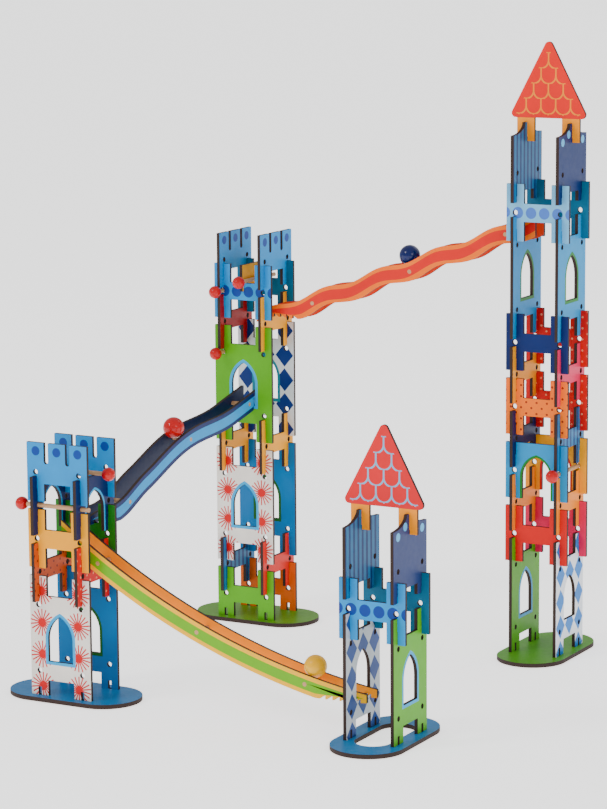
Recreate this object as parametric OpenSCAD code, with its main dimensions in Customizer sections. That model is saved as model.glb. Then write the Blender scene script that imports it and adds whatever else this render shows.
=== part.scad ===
// Castle marble run: four towers of slotted boards, three two-rail tracks,
// pegs with ball knobs and three marbles. Millimetres, +Z up.
// The origin is on the ground, at the middle of the footprint.

/* [Boards] */
// Thickness of every painted board
board_t = 4; // [3:0.5:5]
// Width of a tower board
board_w = 78; // [74:1:84]
// Distance between the two slit axes of a board
slit_span = 56; // [52:1:60]
// Height of a one-storey board
board_h = 66; // [62:1:70]
// Gap between stacked boards of one direction
board_gap = 9; // [8:0.5:11]
// Width of the notch between two legs of a board
notch_w = 34; // [32:1:35]
// Depth of that notch
notch_d = 22.5; // [20:0.5:24]
// Free play of a board in a slit
slit_play = 0.4; // [0.2:0.1:0.8]
// Diameter of the peg holes
hole_d = 6; // [5.6:0.1:6.5]

/* [Openings] */
// Width of the pointed window in a two-storey board
window_w = 32; // [30:1:34]
// Height of the window sill over the foot of its board
window_sill = 44.5; // [42:0.5:46]
// Height where the window's arcs start
window_spring = 70; // [66:1:74]
// Rise of the window's arcs
window_rise = 26.5; // [24:0.5:28]
// Width of the archway in a one-storey board
arch_w = 36; // [34:1:38]
// Height where the archway's arcs start
arch_spring = 26; // [22:1:28]
// Rise of the archway's arcs
arch_rise = 24; // [20:1:26]

/* [Towers] */
// Distance between the left and right towers
span_x = 388; // [380:1:400]
// Distance between the front and back towers
span_y = 416; // [410:1:425]
// Length of a base plate
base_len = 160; // [156:1:170]
// Width of a base plate
base_wid = 82; // [80:1:86]
// Thickness of a base plate
base_t = 5; // [4:0.5:6]

/* [Spires and roofs] */
// Height of a spire's shoulders over its foot
spire_shoulder = 77; // [74:1:80]
// Height of a spire's peak over its foot
spire_peak = 90; // [88:1:94]
// Height of the bottom of the roof slot over the spire's foot
spire_slot = 73; // [70:1:75]
// Width of a roof board
roof_w = 92; // [88:1:98]
// Height of a roof's triangle
roof_h = 87; // [80:1:95]
// Corner radius of a roof
roof_r = 5; // [3:0.5:7]
// Length of a roof's legs
roof_leg = 27; // [22:0.5:30]
// Depth of the slits in the feet of a roof's legs
leg_slit = 5; // [4:0.5:6]

/* [Tracks] */
// Clear gap between the two rails of a track
rail_gap = 20; // [18:0.5:22]
// Height of a rail, square to its slope
rail_h = 21; // [19:0.5:22]
// Height of a rail at its tapered tip
tip_h = 9; // [8:0.5:11]
// Length of the tapered end
taper_len = 62; // [58:1:66]
// Pitch of the teeth under the tapered end
tooth_pitch = 8.5; // [8:0.1:9]
// Depth of those teeth
tooth_d = 4.5; // [3:0.5:5]
// Diameter of the cross dowels and the pegs
dowel_d = 5; // [4.5:0.1:5.3]

/* [Marbles and pegs] */
// Diameter of a marble
marble_d = 25; // [24:0.5:26]
// Diameter of a peg's ball knob
knob_d = 15; // [13:0.5:16]
// Distance of a knob's centre from the tower's axis
knob_reach = 48; // [47.5:0.5:52]

/* [Hidden] */
$fn = 48;
axis_at = slit_span / 2;
storey = (board_h + board_gap) / 2;
long_h = 2 * board_h + board_gap;
overlap = board_h - storey;
slit_w = board_t + slit_play;
hole_z = board_h / 2;
spire_foot = 7;
half_gap = rail_gap / 2;
play = 0.3;

// Tower axes: 0 front left, 1 back left, 2 front right, 3 back right
left_x = (base_len / 2 - roof_w / 2 - span_x) / 2;
TOWERS = [
    [left_x, -span_y / 2],
    [left_x, span_y / 2],
    [left_x + span_x, -span_y / 2],
    [left_x + span_x, span_y / 2],
];

// Rows of boards: node, tower, plane ("a" spans X, "b" spans Y), foot level in
// half storeys, kind, colour of the front or left board, of the back or right one
ROWS = [
    ["t1_front_back_long", 0, "a", 0, "long", "White", "DodgerBlue"],
    ["t1_side_h_low", 0, "b", 3, "h", "OrangeRed", "FireBrick"],
    ["t1_front_back_h", 0, "a", 4, "h", "Gold", "ForestGreen"],
    ["t1_side_arches", 0, "b", 5, "arch", "MidnightBlue", "MidnightBlue"],
    ["t1_battlements", 0, "a", 6, "battlement", "SkyBlue", "SkyBlue"],

    ["t2_front_back_h_low", 1, "a", 0, "h", "LimeGreen", "DarkOrange"],
    ["t2_side_h_low", 1, "b", 1, "h", "RoyalBlue", "Tomato"],
    ["t2_front_back_long_low", 1, "a", 2, "long", "White", "DodgerBlue"],
    ["t2_side_h_mid", 1, "b", 5, "h", "Gold", "Gold"],
    ["t2_front_back_long_high", 1, "a", 6, "long", "LimeGreen", "MidnightBlue"],
    ["t2_side_h_high", 1, "b", 9, "h", "FireBrick", "Gold"],
    ["t2_front_back_h_high", 1, "a", 10, "h", "SkyBlue", "Teal"],
    ["t2_battlements", 1, "b", 11, "battlement", "SkyBlue", "SkyBlue"],

    ["t3_side_long", 2, "b", 0, "long", "SteelBlue", "LimeGreen"],
    ["t3_front_back_h", 2, "a", 3, "h", "SkyBlue", "Teal"],
    ["t3_spires", 2, "b", 4, "spire", "SteelBlue", "MidnightBlue"],

    ["t4_side_long_low", 3, "b", 0, "long", "LimeGreen", "LightSkyBlue"],
    ["t4_front_back_h_1", 3, "a", 3, "h", "Red", "DeepPink"],
    ["t4_side_h_1", 3, "b", 4, "h", "Orange", "Orange"],
    ["t4_front_back_arches", 3, "a", 5, "arch", "DarkTurquoise", "Gold"],
    ["t4_side_h_2", 3, "b", 6, "h", "MidnightBlue", "RoyalBlue"],
    ["t4_front_back_h_2", 3, "a", 7, "h", "Orange", "Red"],
    ["t4_side_h_3", 3, "b", 8, "h", "Gold", "HotPink"],
    ["t4_front_back_h_3", 3, "a", 9, "h", "MidnightBlue", "Red"],
    ["t4_side_long_high", 3, "b", 10, "long", "DarkTurquoise", "DarkTurquoise"],
    ["t4_front_back_h_4", 3, "a", 13, "h", "PowderBlue", "Teal"],
    ["t4_spires", 3, "b", 14, "spire", "RoyalBlue", "MidnightBlue"],
];

// Pegs: node, tower, axis of the peg, its offset across the tower, its height,
// side of the knob
PEGS = [
    ["t1_peg_front", 0, "x", -axis_at, 5 * storey + hole_z, -1],
    ["t1_peg_top", 0, "x", 0, 5 * storey + board_h + dowel_d / 2 + play, 1],
    ["t2_peg_low", 1, "y", -axis_at, 8 * storey + hole_z, -1],
    ["t2_peg_high", 1, "y", -axis_at, 10 * storey + hole_z, -1],
    ["t2_peg_top", 1, "y", 5, 11 * storey + notch_rise() + dowel_d / 2 + play, -1],
    ["t4_peg", 3, "y", axis_at, 5 * storey + hole_z, -1],
];
// Height of the top notch's floor over half a storey above a board's foot
function notch_rise() = board_h - notch_d - storey;

// Roofs: node, tower, level of the spires under it
ROOFS = [["t3_roof", 2, 4], ["t4_roof", 3, 14]];
BASES = ["t1_base", "t2_base", "t3_base", "t4_base"];

// Tracks. u runs from the axis of the first tower to that of the second.
ORANGE_TIP = 10;
ORANGE_END = 378;
ORANGE_SEATS = [[axis_at, 9 * storey + board_h - notch_d],
    [span_x - axis_at, 10 * storey + long_h - notch_d]];
BLUE_TIP = 15;
BLUE_END = 404;
BLUE_SEATS = [[axis_at, 4 * storey + board_h - notch_d],
    [span_y - axis_at, 6 * storey + window_sill]];
YELLOW_END = -6;
YELLOW_TIP = 373;
YELLOW_SEATS = [[axis_at, 3 * storey + board_h - notch_d],
    [span_x - axis_at, window_sill]];
YELLOW_R = 833;
YELLOW_CENTRE = [485, 875];

TRACKS = ["orange_track", "blue_track", "yellow_track"];
MARBLES = ["blue_marble", "red_marble", "yellow_marble"];
DOWELS_U = [[86.5, 216.5, 340], [99, 236, 376], [40.5, 165.5, 298.5]];
MARBLE_U = [213, 222, 303];

// ---- Top edges of the rails, z over u ----
// One smooth swell of the given height between two places
function swell(u, low, high, rise) =
    (u < low || u > high) ? 0 : rise * (0.5 - 0.5 * cos(360 * (u - low) / (high - low)));
function orange_top(u) = 391 + 0.37 * (u - 36) - 3 * cos(360 * (u - 213) / 74) - 1;
function blue_top(u) = 205.5 + 0.2245 * (u - axis_at) + swell(u, 110, 340, 12)
    - swell(u, 20, 135, 8.5);
function yellow_top(u) = YELLOW_CENTRE[1] - sqrt(pow(YELLOW_R, 2) - pow(u - YELLOW_CENTRE[0], 2));
function top_z(k, u) = k == 0 ? orange_top(u) : k == 1 ? blue_top(u) : yellow_top(u);
function slope(k, u) = top_z(k, u + 0.5) - top_z(k, u - 0.5);
function steep(k, u) = sqrt(1 + pow(slope(k, u), 2));

function tip_u(k) = [ORANGE_TIP, BLUE_TIP, YELLOW_TIP][k];
function end_u(k) = [ORANGE_END, BLUE_END, YELLOW_END][k];
function seats(k) = [ORANGE_SEATS, BLUE_SEATS, YELLOW_SEATS][k];
function off_tip(k, u) = abs(u - tip_u(k));
function height(k, u) = off_tip(k, u) < taper_len
    ? tip_h + (rail_h - tip_h) * off_tip(k, u) / taper_len : rail_h;
function under_z(k, u) = top_z(k, u) - height(k, u) * steep(k, u);
// Height of a marble's centre over the rails' top edges
marble_rise = sqrt(pow(marble_d / 2, 2) - pow(half_gap, 2)) + play;

// ---- Board outlines, drawn in X (across) and Y (up) ----
// Two arcs that meet in a point over a straight-sided opening
module pointed_arch(w, spring, rise, foot) {
    steps = 16;
    c = (rise * rise - w * w / 4) / w;
    r = w / 2 + c;
    sweep = atan2(rise, c);
    arc = [for (i = [0:steps]) [r * cos(sweep * i / steps) - c, spring + r * sin(sweep * i / steps)]];
    left = [for (i = [steps - 1:-1:0]) [-arc[i][0], arc[i][1]]];
    polygon(concat([[-w / 2, foot], [w / 2, foot]], arc, left));
}

module slit(depth) {
    for (side = [-1, 1])
        translate([side * axis_at - slit_w / 2, -1]) square([slit_w, depth + 1]);
}

module top_slits(h) {
    translate([0, h]) mirror([0, 1]) slit(overlap / 2);
}

module notch(depth) {
    translate([-notch_w / 2, -1]) square([notch_w, depth + 1]);
}

module top_notch(h) {
    translate([0, h]) mirror([0, 1]) notch(notch_d);
}

module peg_holes(z) {
    for (side = [-1, 1])
        translate([side * axis_at, z]) circle(d = hole_d);
}

module blank(h) {
    translate([-board_w / 2, 0]) square([board_w, h]);
}

module h_outline() {
    difference() {
        blank(board_h);
        slit(overlap / 2);
        top_slits(board_h);
        notch(notch_d);
        top_notch(board_h);
        peg_holes(hole_z);
    }
}

module long_outline() {
    difference() {
        blank(long_h);
        slit(overlap / 2);
        top_slits(long_h);
        notch(notch_d);
        top_notch(long_h);
        peg_holes(hole_z);
        peg_holes(hole_z + 2 * storey);
        pointed_arch(window_w, window_spring, window_rise, window_sill);
    }
}

module arch_outline() {
    difference() {
        blank(board_h);
        slit(overlap / 2);
        top_slits(board_h);
        peg_holes(hole_z);
        pointed_arch(arch_w, arch_spring, arch_rise, -1);
    }
}

module battlement_outline() {
    merlon_w = 22.3;
    crenel_w = 5.5;
    crenel_d = 23.5;
    difference() {
        blank(board_h);
        slit(overlap / 2);
        notch(20);
        peg_holes(hole_z);
        for (side = [-1, 1])
            translate([side * (merlon_w + crenel_w) / 2, 0]) {
                translate([-crenel_w / 2, board_h - crenel_d + crenel_w / 2])
                    square([crenel_w, crenel_d]);
                translate([0, board_h - crenel_d + crenel_w / 2]) circle(d = crenel_w);
            }
    }
}

// A spire's top: shoulders that sweep up in two hollow curves to a peak
module spire_outline() {
    peak_half = 7;
    sweep = [for (a = [0:10:90])
        [board_w / 2 - (board_w / 2 - peak_half) * sin(a),
            spire_peak - (spire_peak - spire_shoulder) * cos(a)]];
    difference() {
        polygon(concat([[-board_w / 2, 0], [board_w / 2, 0]], sweep,
            [for (i = [len(sweep) - 1:-1:0]) [-sweep[i][0], sweep[i][1]]]));
        slit(overlap / 2 - spire_foot);
        notch(12);
        peg_holes(hole_z + 0.5);
        translate([-slit_w / 2, spire_slot]) square([slit_w, spire_peak]);
    }
}

module board_outline(kind) {
    if (kind == "h") h_outline();
    if (kind == "long") long_outline();
    if (kind == "arch") arch_outline();
    if (kind == "battlement") battlement_outline();
    if (kind == "spire") spire_outline();
}

// ---- Placed parts ----
// Stands an outline up in the X-Z plane, centred on its thickness
module stand(t) {
    rotate([90, 0, 0]) linear_extrude(t, center = true) children();
}

module board_pair(row) {
    foot = row[3] * storey + (row[4] == "spire" ? spire_foot : 0);
    translate([TOWERS[row[1]][0], TOWERS[row[1]][1], foot])
        rotate([0, 0, row[2] == "a" ? 0 : 90])
            for (side = [-1, 1])
                color(side == (row[2] == "a" ? -1 : 1) ? row[5] : row[6])
                    translate([0, side * axis_at, 0])
                        stand(board_t) board_outline(row[4]);
}

// Towers 1 and 2 have their lowest boards along X, and 3 and 4 along Y
module base(k) {
    turned = k > 1;
    straight = base_len / 2 - base_wid / 2;
    color(k % 2 == 0 ? "DodgerBlue" : "LimeGreen")
        translate([TOWERS[k][0], TOWERS[k][1], 0])
            rotate([0, 0, turned ? 90 : 0])
                difference() {
                    linear_extrude(base_t) union() {
                        square([2 * straight, base_wid], center = true);
                        for (side = [-1, 1])
                            translate([side * straight, 0]) circle(d = base_wid, $fn = 96);
                    }
                    leg_slots();
                    if (k == 2) base_window();
                }
}

module leg_slots() {
    leg_w = (board_w - notch_w) / 2;
    for (side = [-1, 1])
        for (leg = [-1, 1])
            translate([leg * (board_w - leg_w) / 2, side * axis_at, base_t / 2])
                cube([leg_w + slit_play, slit_w, base_t + 2], center = true);
}

module base_window() {
    window_len = 96;
    window_wid = 40;
    translate([0, 0, -1]) linear_extrude(base_t + 2) union() {
        square([window_len - window_wid, window_wid], center = true);
        for (side = [-1, 1])
            translate([side * (window_len - window_wid) / 2, 0]) circle(d = window_wid);
    }
}

module roof_outline() {
    leg_w = 22;
    flat = roof_w / 2 - roof_r;
    difference() {
        union() {
            hull() {
                for (side = [-1, 1]) translate([side * flat, roof_r]) circle(r = roof_r, $fn = 32);
                translate([0, roof_h - roof_r]) circle(r = roof_r, $fn = 32);
            }
            for (side = [-1, 1])
                translate([side * axis_at - leg_w / 2, -roof_leg]) square([leg_w, roof_leg + roof_r]);
        }
        for (side = [-1, 1])
            translate([side * axis_at - slit_w / 2, -roof_leg - 1]) square([slit_w, leg_slit + 1]);
    }
}

module roof(r) {
    foot = r[2] * storey + spire_foot + spire_slot - leg_slit + roof_leg;
    color("Tomato")
        translate([TOWERS[r[1]][0], TOWERS[r[1]][1], foot]) stand(board_t) roof_outline();
}

// A board across tower 2 that stops a marble at the end of the orange track.
// Its two slits straddle the front and back boards in their top notches.
module stop_board() {
    stop_w = 66;
    rest_z = 11 * storey + notch_rise();
    low = rest_z - 10;
    high = rest_z + 22;
    color("Gold")
        translate([TOWERS[1][0], TOWERS[1][1], low])
            rotate([0, 0, 90])
                stand(board_t)
                    difference() {
                        translate([-stop_w / 2, 0]) square([stop_w, high - low]);
                        slit(rest_z - low);
                    }
}

module rail_outline(k) {
    low = min(tip_u(k), end_u(k));
    high = max(tip_u(k), end_u(k));
    steps = 61;
    us = [for (i = [0:steps]) low + (high - low) * i / steps];
    toward = sign(end_u(k) - tip_u(k));
    difference() {
        polygon(concat([for (u = us) [u, top_z(k, u)]],
            [for (i = [steps:-1:0]) [us[i], under_z(k, us[i])]]));
        for (i = [0:5])
            tooth_cut(k, tip_u(k) + toward * (7 + i * tooth_pitch), toward);
        for (s = seats(k))
            translate([s[0] - slit_w / 2, s[1] - 40]) square([slit_w, 40]);
        for (u = DOWELS_U[k])
            translate([u, (top_z(k, u) + under_z(k, u)) / 2]) circle(d = dowel_d + 0.1);
    }
}

module tooth_cut(k, u, toward) {
    far = u + toward * tooth_pitch * 0.8;
    polygon([[u, under_z(k, u) - 1], [u, under_z(k, u) + tooth_d],
        [far, under_z(k, far)], [far, under_z(k, far) - 1]]);
}

// Moves and turns the track's own frame onto the towers
module track_frame(k) {
    at = k == 0 ? TOWERS[1] : TOWERS[0];
    translate([at[0], at[1], 0]) rotate([0, 0, k == 1 ? 90 : 0]) children();
}

module rails(k) {
    color(["Orange", "MidnightBlue", "Yellow"][k])
        track_frame(k)
            for (side = [-1, 1])
                translate([0, side * (half_gap + board_t / 2), 0]) stand(board_t) rail_outline(k);
}

module dowels(k) {
    color("BurlyWood")
        track_frame(k)
            for (u = DOWELS_U[k])
                translate([u, 0, (top_z(k, u) + under_z(k, u)) / 2])
                    rotate([90, 0, 0])
                        cylinder(h = rail_gap + 2 * board_t, d = dowel_d, center = true);
}

module marble(k) {
    u = MARBLE_U[k];
    color(["Navy", "Red", "Yellow"][k])
        track_frame(k)
            translate([u - slope(k, u) / steep(k, u) * marble_rise, 0,
                top_z(k, u) + marble_rise / steep(k, u)])
                sphere(d = marble_d, $fn = 96);
}

module peg(p) {
    far_end = 40;
    along = p[2] == "x" ? [0, 90, 0] : [-90, 0, 0];
    color("Red")
        translate([TOWERS[p[1]][0] + (p[2] == "x" ? 0 : p[3]),
            TOWERS[p[1]][1] + (p[2] == "x" ? p[3] : 0), p[4]])
            rotate(along)
                union() {
                    translate([0, 0, p[5] * knob_reach]) sphere(d = knob_d, $fn = 64);
                    translate([0, 0, p[5] > 0 ? -far_end : -knob_reach])
                        cylinder(h = far_end + knob_reach, d = dowel_d);
                }
}

for (k = [0:3])
    base(k);
for (row = ROWS)
    board_pair(row);
stop_board();  // t2_stop_board
for (r = ROOFS)
    roof(r);
for (k = [0:2])
    rails(k);
for (k = [0:2])
    dowels(k);
for (k = [0:2])
    marble(k);
for (p = PEGS)
    peg(p);
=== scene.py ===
"""Looks of the castle marble run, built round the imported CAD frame. Everything is in metres."""
import math

import bpy
from mathutils import Matrix, Vector


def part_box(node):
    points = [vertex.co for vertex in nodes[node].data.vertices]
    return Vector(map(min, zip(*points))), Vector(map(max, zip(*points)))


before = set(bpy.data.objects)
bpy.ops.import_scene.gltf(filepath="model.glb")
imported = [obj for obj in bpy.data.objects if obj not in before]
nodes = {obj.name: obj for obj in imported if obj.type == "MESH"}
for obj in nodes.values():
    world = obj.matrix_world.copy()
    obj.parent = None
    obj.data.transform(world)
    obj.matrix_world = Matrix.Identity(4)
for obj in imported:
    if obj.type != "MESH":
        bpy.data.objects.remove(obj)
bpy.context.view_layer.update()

MM = 0.001
DEEPEN = 1.5             # over 1, it makes strong colours stronger and leaves white as it is

# The boards, in mm
HALF_STOREY = 37.5
SPIRE_FOOT = 7.0         # a spire's foot over its level
ROOF_HALF = 46.0         # half a roof's width
ROOF_H = 87.0            # its height without the legs
ROOF_R = 5.0             # its corner radius
ROOF_LEG = 27.0

# The rails, in mm
RAIL_H = 21.0
TIP_H = 9.0              # a rail's height at its tapered tip
TAPER = 62.0             # the tapered end's length
BORDER = 4.8             # plain border on both sides of the printed band
RAIL_CORE = 12.0         # the middle of a rail's thickness, from the track's middle

KNOB_R = 7.5
PAINT_SPILL = 0.3        # how far a knob's paint runs onto its dowel


def hexa(code):
    """Linear RGBA of an sRGB hex colour, deepened."""
    parts = [int(code[i:i + 2], 16) / 255 for i in (0, 2, 4)]
    linear = [c / 12.92 if c <= 0.04045 else ((c + 0.055) / 1.055) ** 2.4 for c in parts]
    return tuple(c ** DEEPEN for c in linear) + (1.0,)


# ---- Node arithmetic ----
class Term:
    """A number in a shader's node tree, with the arithmetic that the patterns need."""

    def __init__(self, tree, socket):
        self.tree = tree
        self.socket = socket

    def op(self, name, *others):
        node = self.tree.nodes.new("ShaderNodeMath")
        node.operation = name
        for slot, value in enumerate((self, *others)):
            if isinstance(value, Term):
                self.tree.links.new(value.socket, node.inputs[slot])
            else:
                node.inputs[slot].default_value = value
        return Term(self.tree, node.outputs[0])

    def __add__(self, other):
        return self.op("ADD", other)

    def __sub__(self, other):
        return self.op("SUBTRACT", other)

    def __mul__(self, other):
        return self.op("MULTIPLY", other)

    def __abs__(self):
        return self.op("ABSOLUTE")

    def less(self, other):
        return self.op("LESS_THAN", other)

    def more(self, other):
        return self.op("GREATER_THAN", other)

    def both(self, other):
        return self.op("MULTIPLY", other)

    def either(self, other):
        return self.op("MAXIMUM", other)

    def repeat(self, pitch):
        """The value within its repeat, from minus half a pitch to half a pitch."""
        return (self + pitch / 2).op("FLOORED_MODULO", pitch) - pitch / 2

    def cell(self, pitch):
        return (self * (1 / pitch)).op("FLOOR")

    def reach(self, other):
        """The length of the vector (self, other)."""
        return (self * self + other * other).op("SQRT")


def position(tree):
    """The place on the object, in millimetres, as three terms."""
    coords = tree.nodes.new("ShaderNodeTexCoord")
    split = tree.nodes.new("ShaderNodeSeparateXYZ")
    tree.links.new(coords.outputs["Object"], split.inputs[0])
    return [Term(tree, split.outputs[i]) * 1000.0 for i in range(3)]


def new_material(name):
    material = bpy.data.materials.new(name)
    material.use_nodes = True
    return material, material.node_tree, material.node_tree.nodes["Principled BSDF"]


def noise(tree, scale, detail=4.0, stretch=(1, 1, 1)):
    coords = tree.nodes.new("ShaderNodeTexCoord")
    mapping = tree.nodes.new("ShaderNodeMapping")
    mapping.inputs["Scale"].default_value = stretch
    field = tree.nodes.new("ShaderNodeTexNoise")
    field.inputs["Scale"].default_value = scale
    field.inputs["Detail"].default_value = detail
    tree.links.new(coords.outputs["Object"], mapping.inputs[0])
    tree.links.new(mapping.outputs[0], field.inputs["Vector"])
    return field.outputs["Fac"]


def mix(tree, mask, first, second):
    node = tree.nodes.new("ShaderNodeMix")
    node.data_type = "RGBA"
    for slot, value in (("A", first), ("B", second)):
        socket = [s for s in node.inputs if s.name == slot and s.type == "RGBA"][0]
        if isinstance(value, tuple):
            socket.default_value = value
        else:
            tree.links.new(value, socket)
    factor = mask.socket if isinstance(mask, Term) else mask
    tree.links.new(factor, node.inputs["Factor"])
    return [s for s in node.outputs if s.type == "RGBA"][0]


def ramp(tree, factor, low, high):
    node = tree.nodes.new("ShaderNodeMapRange")
    node.inputs["To Min"].default_value = low
    node.inputs["To Max"].default_value = high
    tree.links.new(factor, node.inputs["Value"])
    return node.outputs[0]


def bump(tree, shader, height, strength, distance):
    node = tree.nodes.new("ShaderNodeBump")
    node.inputs["Strength"].default_value = strength
    node.inputs["Distance"].default_value = distance
    tree.links.new(height, node.inputs["Height"])
    tree.links.new(node.outputs[0], shader.inputs["Normal"])


def finish_paint(tree, shader, colour):
    """Satin paint on fine board: a faint mottle, uneven gloss and a fine orange peel."""
    mottle = ramp(tree, noise(tree, 45.0), 0.86, 1.08)
    scale = tree.nodes.new("ShaderNodeVectorMath")
    scale.operation = "SCALE"
    if isinstance(colour, tuple):
        scale.inputs[0].default_value = colour[:3]
    else:
        tree.links.new(colour, scale.inputs[0])
    tree.links.new(mottle, scale.inputs["Scale"])
    tree.links.new(scale.outputs[0], shader.inputs["Base Color"])
    tree.links.new(ramp(tree, noise(tree, 160.0), 0.34, 0.52), shader.inputs["Roughness"])
    shader.inputs["Specular IOR Level"].default_value = 0.2
    bump(tree, shader, noise(tree, 900.0, 2.0), 0.12, 0.0002)


# ---- Printed patterns: each gives a mask over u (across) and z (up), in mm ----
def discs(u, z, centre=33.0, radius=6.6, pitch=16.4):
    across = (u + pitch / 2).repeat(pitch)
    return across.reach(z - centre).less(radius)


def dots(u, z, radius=1.3, pitch=13.0, rise=6.5):
    first = u.repeat(pitch).reach(z.repeat(2 * rise)).less(radius)
    second = (u + pitch / 2).repeat(pitch).reach((z + rise).repeat(2 * rise)).less(radius)
    return first.either(second)


def stripes(u, z, pitch=9.8):
    return abs(u.repeat(pitch)).less(pitch * 0.22)


def diamonds(u, z, wide=26.0, tall=30.5):
    slope = abs(u.repeat(wide)) * (2 / wide) + abs((z - 8.0).repeat(tall)) * (2 / tall)
    return slope.less(0.94)


def bursts(u, z, rays=18, radius=15.5, half_ray=0.8, aside=23.5, lowest=16.0, rise=36.0):
    """Four rows of two bursts, whose rays run together in the middle."""
    across = abs(u) - aside
    up = (z - lowest).repeat(rise)
    far = across.reach(up)
    turn = (across.op("ARCTAN2", up) * (rays / (2 * math.pi))).repeat(1.0)
    off_ray = abs((turn * (2 * math.pi / rays)).op("SINE") * far)
    return off_ray.less(half_ray).both(far.less(radius))


def window_band(u, z, width=32.0, spring=70.0, rise=26.5, sill=44.5, band=3.5):
    centre = (rise * rise - width * width / 4) / width
    arc = (abs(u) + centre).reach(z - spring).less(width / 2 + centre + band)
    jamb = abs(u).less(width / 2 + band).both(z.more(sill - band))
    return arc.both(z.more(spring)).either(jamb.both(z.less(spring + 0.01)))


def arch_band(u, z):
    return window_band(u, z, width=36.0, spring=26.0, rise=24.0, sill=-9.0, band=2.6)


def crenel_discs(u, z):
    return u.repeat(27.2).reach(z - 56.5).less(5.2)


def spire_discs(u, z, radius=4.6):
    low = (abs(u) - 28.0).reach(z - 70.0).less(radius)
    return low.either((abs(u) - 11.5).reach(z - 78.0).less(radius))


def scales(u, z, wide=18.4, tall=17.4, half_line=0.95, foot=4.4, margin=6.0):
    """Rows of round-ended roof scales, with a plain margin along the sloping edges."""
    lift = z - foot
    row = lift.cell(tall)
    odd = (row * 0.5).op("FRACT").more(0.25)
    across = (u + odd * (wide / 2)).repeat(wide)
    up = lift - row * tall
    radius = wide / 2
    curve = abs(across.reach(up - radius) - radius).less(half_line).both(up.less(radius))
    side = abs(abs(across) - radius).less(half_line).both(up.more(radius))
    run = ROOF_HALF - ROOF_R
    climb = ROOF_H - 2 * ROOF_R
    slope = math.hypot(run, climb)
    outward = (abs(u) - run) * (climb / slope) + (z - ROOF_R) * (run / slope)
    return curve.either(side).both(outward.less(ROOF_R - margin)).both(z.more(foot - half_line))


def legs(u, z):
    return z.less(0.0)


def printed(name, base, patterns, origin, across):
    """Paint with patterns. across is the axis that u runs along; origin is in mm."""
    material, tree, shader = new_material(name)
    place = position(tree)
    u = place[across] - origin[across]
    z = place[2] - origin[2]
    paint = hexa(base)
    for draw, code in patterns:
        paint = mix(tree, draw(u, z), paint, hexa(code))
    finish_paint(tree, shader, paint)
    return material


# ---- Plain materials ----
def cut_edge():
    material, tree, shader = new_material("scorched_edge")
    grain = ramp(tree, noise(tree, 380.0, 6.0, (1, 1, 3)), 0.0, 1.0)
    tree.links.new(mix(tree, grain, hexa("2a1710"), hexa("5e3a26")), shader.inputs["Base Color"])
    shader.inputs["Roughness"].default_value = 0.75
    bump(tree, shader, noise(tree, 1400.0, 3.0), 0.3, 0.0003)
    return material


def raw_board():
    material, tree, shader = new_material("raw_board")
    grain = noise(tree, 600.0, 6.0)
    tree.links.new(mix(tree, grain, hexa("8a6a4c"), hexa("b08c68")), shader.inputs["Base Color"])
    shader.inputs["Roughness"].default_value = 0.8
    bump(tree, shader, grain, 0.2, 0.0002)
    return material


def beech():
    material, tree, shader = new_material("beech")
    grain = noise(tree, 260.0, 6.0, (1, 1, 4))
    tree.links.new(mix(tree, grain, hexa("b98c63"), hexa("e8c8a2")), shader.inputs["Base Color"])
    shader.inputs["Roughness"].default_value = 0.55
    bump(tree, shader, grain, 0.25, 0.0003)
    return material


def lacquer(name, deep, bright):
    material, tree, shader = new_material(name)
    cloud = noise(tree, 70.0, 3.0)
    tree.links.new(mix(tree, cloud, hexa(deep), hexa(bright)), shader.inputs["Base Color"])
    shader.inputs["Roughness"].default_value = 0.14
    shader.inputs["Specular IOR Level"].default_value = 0.35
    bump(tree, shader, noise(tree, 220.0, 1.0), 0.02, 0.0001)
    return material


EDGE = cut_edge()
RAW = raw_board()
BEECH = beech()
KNOB_RED = lacquer("knob_red", "c4161c", "e0262a")
MARBLES = {
    "blue_marble": lacquer("marble_blue", "0c2a66", "143c88"),
    "red_marble": lacquer("marble_red", "c4141c", "e02830"),
    "yellow_marble": lacquer("marble_yellow", "f0c000", "ffd400"),
}

# ---- Boards: a paint is a base colour and the patterns printed on it, each with its colour ----
WHITE, YELLOW, GREEN = "f2eee8", "ffc200", "7cc020"
SKY, DISC, CYAN = "24b0e4", "0b62b0", "04aedc"
NAVY, TEAL, RED, AMBER = "213f7e", "1f8eaa", "e02c2a", "ffac08"
BAND_BLUE, BAND_TEAL = "40bce6", "1f9db0"
BAND_GREEN, BAND_LEAF = "12802f", "2f9c46"
STRIPED = ("3a9ac6", [(stripes, "1c6498")])
BURST = (WHITE, [(bursts, "dc2630"), (window_band, BAND_BLUE)])
GREEN_LONG = (GREEN, [(window_band, BAND_BLUE)])
CYAN_LONG = (CYAN, [(window_band, BAND_LEAF)])
DIAMOND_LONG = ("e6e8ee", [(diamonds, "1c4f98"), (window_band, BAND_TEAL)])
NAVY_ARCH = ("21457f", [(arch_band, BAND_BLUE)])
BATTLEMENT = ("24ace0", [(crenel_discs, "0c64b0")])
RED_DOTS = (RED, [(dots, "f4b090")])
SKY_DISCS = (SKY, [(discs, DISC)])
NAVY_SPIRE = ("0a4a86", [(spire_discs, "7cc8ee")])
GREY_SPIRE = ("4a5c8e", [(spire_discs, "7cc8ee")])

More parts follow.
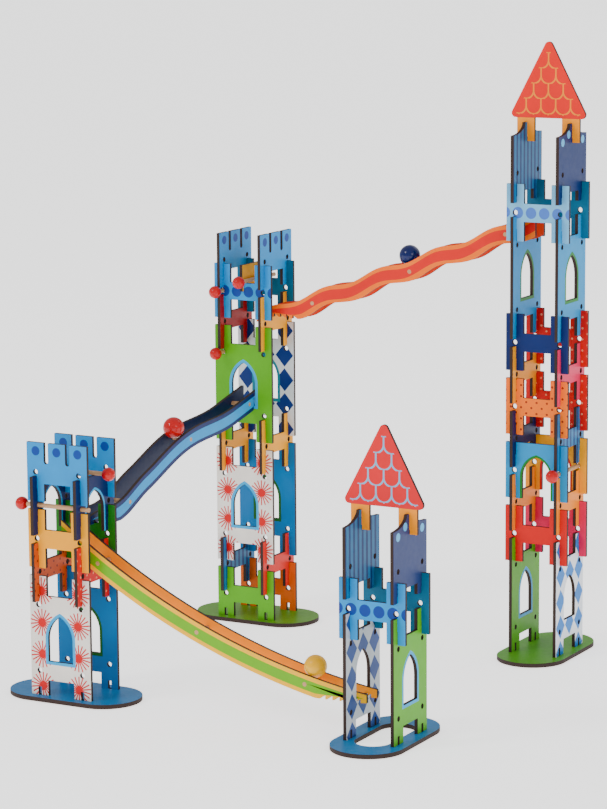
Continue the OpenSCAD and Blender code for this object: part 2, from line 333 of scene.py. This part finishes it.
# Node: plane ("a" spans X, "b" spans Y), level in half storeys, paint of the front or left
# board, paint of the back or right one
BOARDS = {
    "t1_front_back_long": ("a", 0, BURST, ("0890c4", [(window_band, BAND_GREEN)])),
    "t1_side_h_low": ("b", 3, ("e07a28", [(dots, "8c3c14")]), RED_DOTS),
    "t1_front_back_h": ("a", 4, (YELLOW, []), ("3f9e34", [])),
    "t1_side_arches": ("b", 5, NAVY_ARCH, NAVY_ARCH),
    "t1_battlements": ("a", 6, BATTLEMENT, BATTLEMENT),
    "t2_front_back_h_low": ("a", 0, (GREEN, []), ("f08814", [])),
    "t2_side_h_low": ("b", 1, STRIPED, ("e84a3c", [])),
    "t2_front_back_long_low": ("a", 2, BURST, ("0c94c8", [(window_band, BAND_GREEN)])),
    "t2_side_h_mid": ("b", 5, (YELLOW, []), (YELLOW, [])),
    "t2_front_back_long_high": ("a", 6, GREEN_LONG, DIAMOND_LONG),
    "t2_side_h_high": ("b", 9, ("b81c22", []), (YELLOW, [])),
    "t2_front_back_h_high": ("a", 10, SKY_DISCS, (TEAL, [])),
    "t2_battlements": ("b", 11, BATTLEMENT, BATTLEMENT),
    "t3_side_long": ("b", 0, ("dcdee8", [(diamonds, "4a70b0")]), GREEN_LONG),
    "t3_front_back_h": ("a", 3, SKY_DISCS, (TEAL, [])),
    "t3_spires": ("b", 4, STRIPED, GREY_SPIRE),
    "t4_side_long_low": ("b", 0, GREEN_LONG, ("eef2f8", [(diamonds, "3c9ad8")])),
    "t4_front_back_h_1": ("a", 3, (RED, []), ("ea3a7c", [])),
    "t4_side_h_1": ("b", 4, (AMBER, []), (AMBER, [])),
    "t4_front_back_arches": ("a", 5, ("10aedc", [(arch_band, BAND_LEAF)]),
                             (YELLOW, [(arch_band, "e03028")])),
    "t4_side_h_2": ("b", 6, (NAVY, []), STRIPED),
    "t4_front_back_h_2": ("a", 7, ("ff9808", [(dots, "a83a18")]), RED_DOTS),
    "t4_side_h_3": ("b", 8, (YELLOW, []), ("f04c84", [])),
    "t4_front_back_h_3": ("a", 9, ("1d4586", []), RED_DOTS),
    "t4_side_long_high": ("b", 10, CYAN_LONG, CYAN_LONG),
    "t4_front_back_h_4": ("a", 13, ("98d0ec", [(discs, "6f98da")]), (TEAL, [])),
    "t4_spires": ("b", 14, STRIPED, NAVY_SPIRE),
}


def tower_axis(node):
    """The vertical axis of the node's tower, from its base plate, in metres."""
    low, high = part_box(node[:2] + "_base")
    return (low[0] + high[0]) / 2, (low[1] + high[1]) / 2


def paint_faces(obj, materials, pick):
    """Gives each face the material that pick(centre, normal) numbers."""
    obj.data.materials.clear()
    for material in materials:
        obj.data.materials.append(material)
    for face in obj.data.polygons:
        face.material_index = pick(face.center, face.normal)


def soften(obj, width=0.00035):
    """A small round on the sharp edges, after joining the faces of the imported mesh."""
    weld = obj.modifiers.new("weld", "WELD")
    weld.merge_threshold = 1e-6
    planar = obj.modifiers.new("planar", "DECIMATE")
    planar.decimate_type = "DISSOLVE"
    planar.angle_limit = math.radians(0.5)
    bevel = obj.modifiers.new("round", "BEVEL")
    bevel.width = width
    bevel.segments = 2
    bevel.limit_method = "ANGLE"
    bevel.angle_limit = math.radians(40)
    bevel.loop_slide = False
    bevel.face_strength_mode = "FSTR_ALL"
    even = obj.modifiers.new("even", "WEIGHTED_NORMAL")
    even.mode = "FACE_AREA"
    even.use_face_influence = True


def paint_boards(node, plane, level, first, second):
    ax, ay = tower_axis(node)
    across, deep = (0, 1) if plane == "a" else (1, 0)
    lift = SPIRE_FOOT if node.endswith("spires") else 0.0
    origin = (ax / MM, ay / MM, level * HALF_STOREY + lift)
    paints = [printed(f"{node}_{i}", base, patterns, origin, across)
              for i, (base, patterns) in enumerate((first, second))]
    middle = (ax, ay)[deep]

    def pick(centre, normal):
        if abs(normal[deep]) < 0.9:
            return 2
        return 0 if centre[deep] < middle else 1

    paint_faces(nodes[node], [*paints, EDGE], pick)
    soften(nodes[node])


for board_node, (plane, level, first, second) in BOARDS.items():
    paint_boards(board_node, plane, level, first, second)


# ---- Bases, roofs and the stop board ----
def paint_base(node, code):
    paint = printed(node + "_paint", code, [], (0, 0, 0), 0)
    paint_faces(nodes[node], [paint, RAW, EDGE],
                lambda centre, normal: 0 if normal[2] > 0.9 else (1 if normal[2] < -0.9 else 2))
    soften(nodes[node], 0.0004)


for base_node, code in (("t1_base", "2898c8"), ("t2_base", "7fb42a"),
                        ("t3_base", "289ccc"), ("t4_base", "74b52c")):
    paint_base(base_node, code)


def paint_roof(node, base, line):
    ax, ay = tower_axis(node)
    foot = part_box(node)[0][2] / MM + ROOF_LEG
    paint = printed(node + "_paint", base, [(scales, line), (legs, "ffb40c")],
                    (ax / MM, ay / MM, foot), 0)
    paint_faces(nodes[node], [paint, EDGE], lambda centre, normal: 0 if abs(normal[1]) > 0.9 else 1)
    soften(nodes[node])


paint_roof("t3_roof", "e8414a", "8ecbe6")
paint_roof("t4_roof", "ee4030", "f8a83a")

STOP = printed("stop_board_paint", YELLOW, [], (0, 0, 0), 0)
paint_faces(nodes["t2_stop_board"], [STOP, EDGE],
            lambda centre, normal: 0 if abs(normal[0]) > 0.9 else 1)
soften(nodes["t2_stop_board"])


# ---- Tracks: a printed band along the middle of each rail's outer face ----
def swell(u, low, high, rise):
    """The same smooth swell as the rails' outline has, as a term."""
    inside = u.more(low).both(u.less(high))
    wave = ((u - low) * (2 * math.pi / (high - low))).op("COSINE") * -0.5 + 0.5
    return wave * rise * inside


# The depths below are under a rail's top edge, square to its slope. u runs from the axis of
# the track's first tower, and z from the floor.
def orange_depth(u, z, start=36.0, height=390.0, slope=0.37, crest=213.0, pitch=74.0, swing=3.0):
    """A straight slope with even waves."""
    square = 0.94        # the cosine of the slope
    wave = ((u - crest) * (2 * math.pi / pitch)).op("COSINE") * -swing
    return ((u - start) * slope + wave + height - z) * square


def blue_depth(u, z, start=28.0, height=205.5, slope=0.2245):
    """A straight slope with a hump in its upper part and a dip in its lower part."""
    square = 0.95        # between the cosines of its gentle and its steep stretches
    rise = swell(u, 110.0, 340.0, 12.0) - swell(u, 20.0, 135.0, 8.5)
    return ((u - start) * slope + rise + height - z) * square


def yellow_depth(u, z, centre_u=485.0, centre_z=875.0, radius=833.0):
    """An arc."""
    return (u - centre_u).reach(z - centre_z) - radius


def band(depth, tip):
    """A band between two borders that runs out to a point along the tapered end."""
    def draw(u, z):
        down = depth(u, z)
        height = (abs(u - tip) * ((RAIL_H - TIP_H) / TAPER) + TIP_H).op("MINIMUM", RAIL_H)
        return down.more(BORDER).both((down - height).less(-BORDER))
    return draw


def paint_rails(node, first_tower, deep, base, inner, stripe, depth, tip):
    """deep is the axis across the track, and tip is where u has the tapered tip."""
    low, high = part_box(first_tower + "_base")
    origin = [(low[i] + high[i]) / 2 / MM for i in (0, 1)] + [0.0]
    outer = printed(node + "_outer", base, [(band(depth, tip), stripe)], origin, 1 - deep)
    plain = printed(node + "_inner", inner, [], origin, 1 - deep)
    middle = origin[deep] * MM

    def pick(centre, normal):
        if abs(normal[deep]) < 0.9:
            return 2
        return 0 if abs(centre[deep] - middle) > RAIL_CORE * MM else 1

    paint_faces(nodes[node], [outer, plain, EDGE], pick)
    soften(nodes[node])


paint_rails("orange_track_rails", "t2", 1, "ff9608", "e8602a", "ea3f34", orange_depth, 10.0)
paint_rails("blue_track_rails", "t1", 0, "1f4484", "23406f", "34b4e6", blue_depth, 15.0)
paint_rails("yellow_track_rails", "t1", 1, "ffd000", "ffb808", "90c81c", yellow_depth, 373.0)
for track in ("orange", "blue", "yellow"):
    nodes[f"{track}_track_dowels"].data.materials.clear()
    nodes[f"{track}_track_dowels"].data.materials.append(BEECH)

# ---- Marbles and pegs ----
for marble, material in MARBLES.items():
    nodes[marble].data.materials.clear()
    nodes[marble].data.materials.append(material)
    nodes[marble].data.shade_smooth()


def paint_peg(node):
    """A lacquered knob at the end that is farther from the tower, and a bare dowel."""
    low, high = (Vector(v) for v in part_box(node))
    size = high - low
    along = max((0, 1), key=lambda i: size[i])
    centre = (low + high) / 2
    axis = Vector(tower_axis(node) + (0.0,))
    toward = 1 if abs(high[along] - axis[along]) > abs(low[along] - axis[along]) else -1
    knob = centre.copy()
    knob[along] = (high if toward > 0 else low)[along] - toward * KNOB_R * MM
    painted = (KNOB_R + PAINT_SPILL) * MM
    paint_faces(nodes[node], [KNOB_RED, BEECH],
                lambda spot, normal: 0 if (spot - knob).length < painted else 1)
    nodes[node].data.shade_smooth()


for peg in ("t1_peg_front", "t1_peg_top", "t2_peg_low", "t2_peg_high", "t2_peg_top", "t4_peg"):
    paint_peg(peg)


# ---- Camera, floor and light ----
CAMERA_AT = Vector((1.6509, -3.0326, 0.9122))
HEADING = math.radians(28.53)     # to the left of +Y
PITCH = math.radians(9.87)        # below the level
ROLL = math.radians(0.436)        # tops lean left
LENS = 183.4                      # on a 36 mm wide frame


def add_camera():
    data = bpy.data.cameras.new("camera")
    data.sensor_fit = "HORIZONTAL"
    data.sensor_width = 36.0
    data.lens = LENS
    data.clip_end = 100.0
    camera = bpy.data.objects.new("camera", data)
    bpy.context.collection.objects.link(camera)
    right = Vector((math.cos(HEADING), math.sin(HEADING), 0.0))
    level = Vector((-math.sin(HEADING), math.cos(HEADING), 0.0))
    forward = level * math.cos(PITCH) - Vector((0, 0, math.sin(PITCH)))
    up = right.cross(forward)
    rolled_right = right * math.cos(ROLL) - up * math.sin(ROLL)
    rolled_up = up * math.cos(ROLL) + right * math.sin(ROLL)
    turn = Matrix((rolled_right, rolled_up, -forward)).transposed().to_4x4()
    camera.matrix_world = Matrix.Translation(CAMERA_AT) @ turn
    bpy.context.scene.camera = camera


def add_floor():
    mesh = bpy.data.meshes.new("floor")
    half = 45.0          # so wide that the camera sees no horizon
    mesh.from_pydata([(-half, -half, 0), (half, -half, 0), (half, half, 0), (-half, half, 0)], [],
                     [(0, 1, 2, 3)])
    floor = bpy.data.objects.new("floor", mesh)
    bpy.context.collection.objects.link(floor)
    floor.location.z = -0.0005
    material, tree, shader = new_material("floor_white")
    shader.inputs["Base Color"].default_value = (0.9, 0.9, 0.9, 1.0)
    shader.inputs["Roughness"].default_value = 0.9
    shader.inputs["Emission Color"].default_value = (1.0, 1.0, 1.0, 1.0)
    shader.inputs["Emission Strength"].default_value = 1.3
    mesh.materials.append(material)


def add_area(name, at, size, power):
    data = bpy.data.lights.new(name, "AREA")
    data.shape = "SQUARE"
    data.size = size
    data.energy = power
    light = bpy.data.objects.new(name, data)
    bpy.context.collection.objects.link(light)
    light.location = at
    aim = Vector((0, 0, 0.25)) - Vector(at)
    light.rotation_euler = aim.to_track_quat("-Z", "Y").to_euler()


def add_world():
    world = bpy.data.worlds.new("studio")
    world.use_nodes = True
    background = world.node_tree.nodes["Background"]
    background.inputs["Color"].default_value = (1.0, 1.0, 1.0, 1.0)
    background.inputs["Strength"].default_value = 0.8
    bpy.context.scene.world = world


add_camera()
add_floor()
add_world()
add_area("key", (-1.6, -2.4, 2.6), 0.8, 34.0)
add_area("fill", (2.6, -1.6, 1.6), 0.9, 12.0)
add_area("rim", (0.6, 2.6, 2.2), 2.0, 10.0)
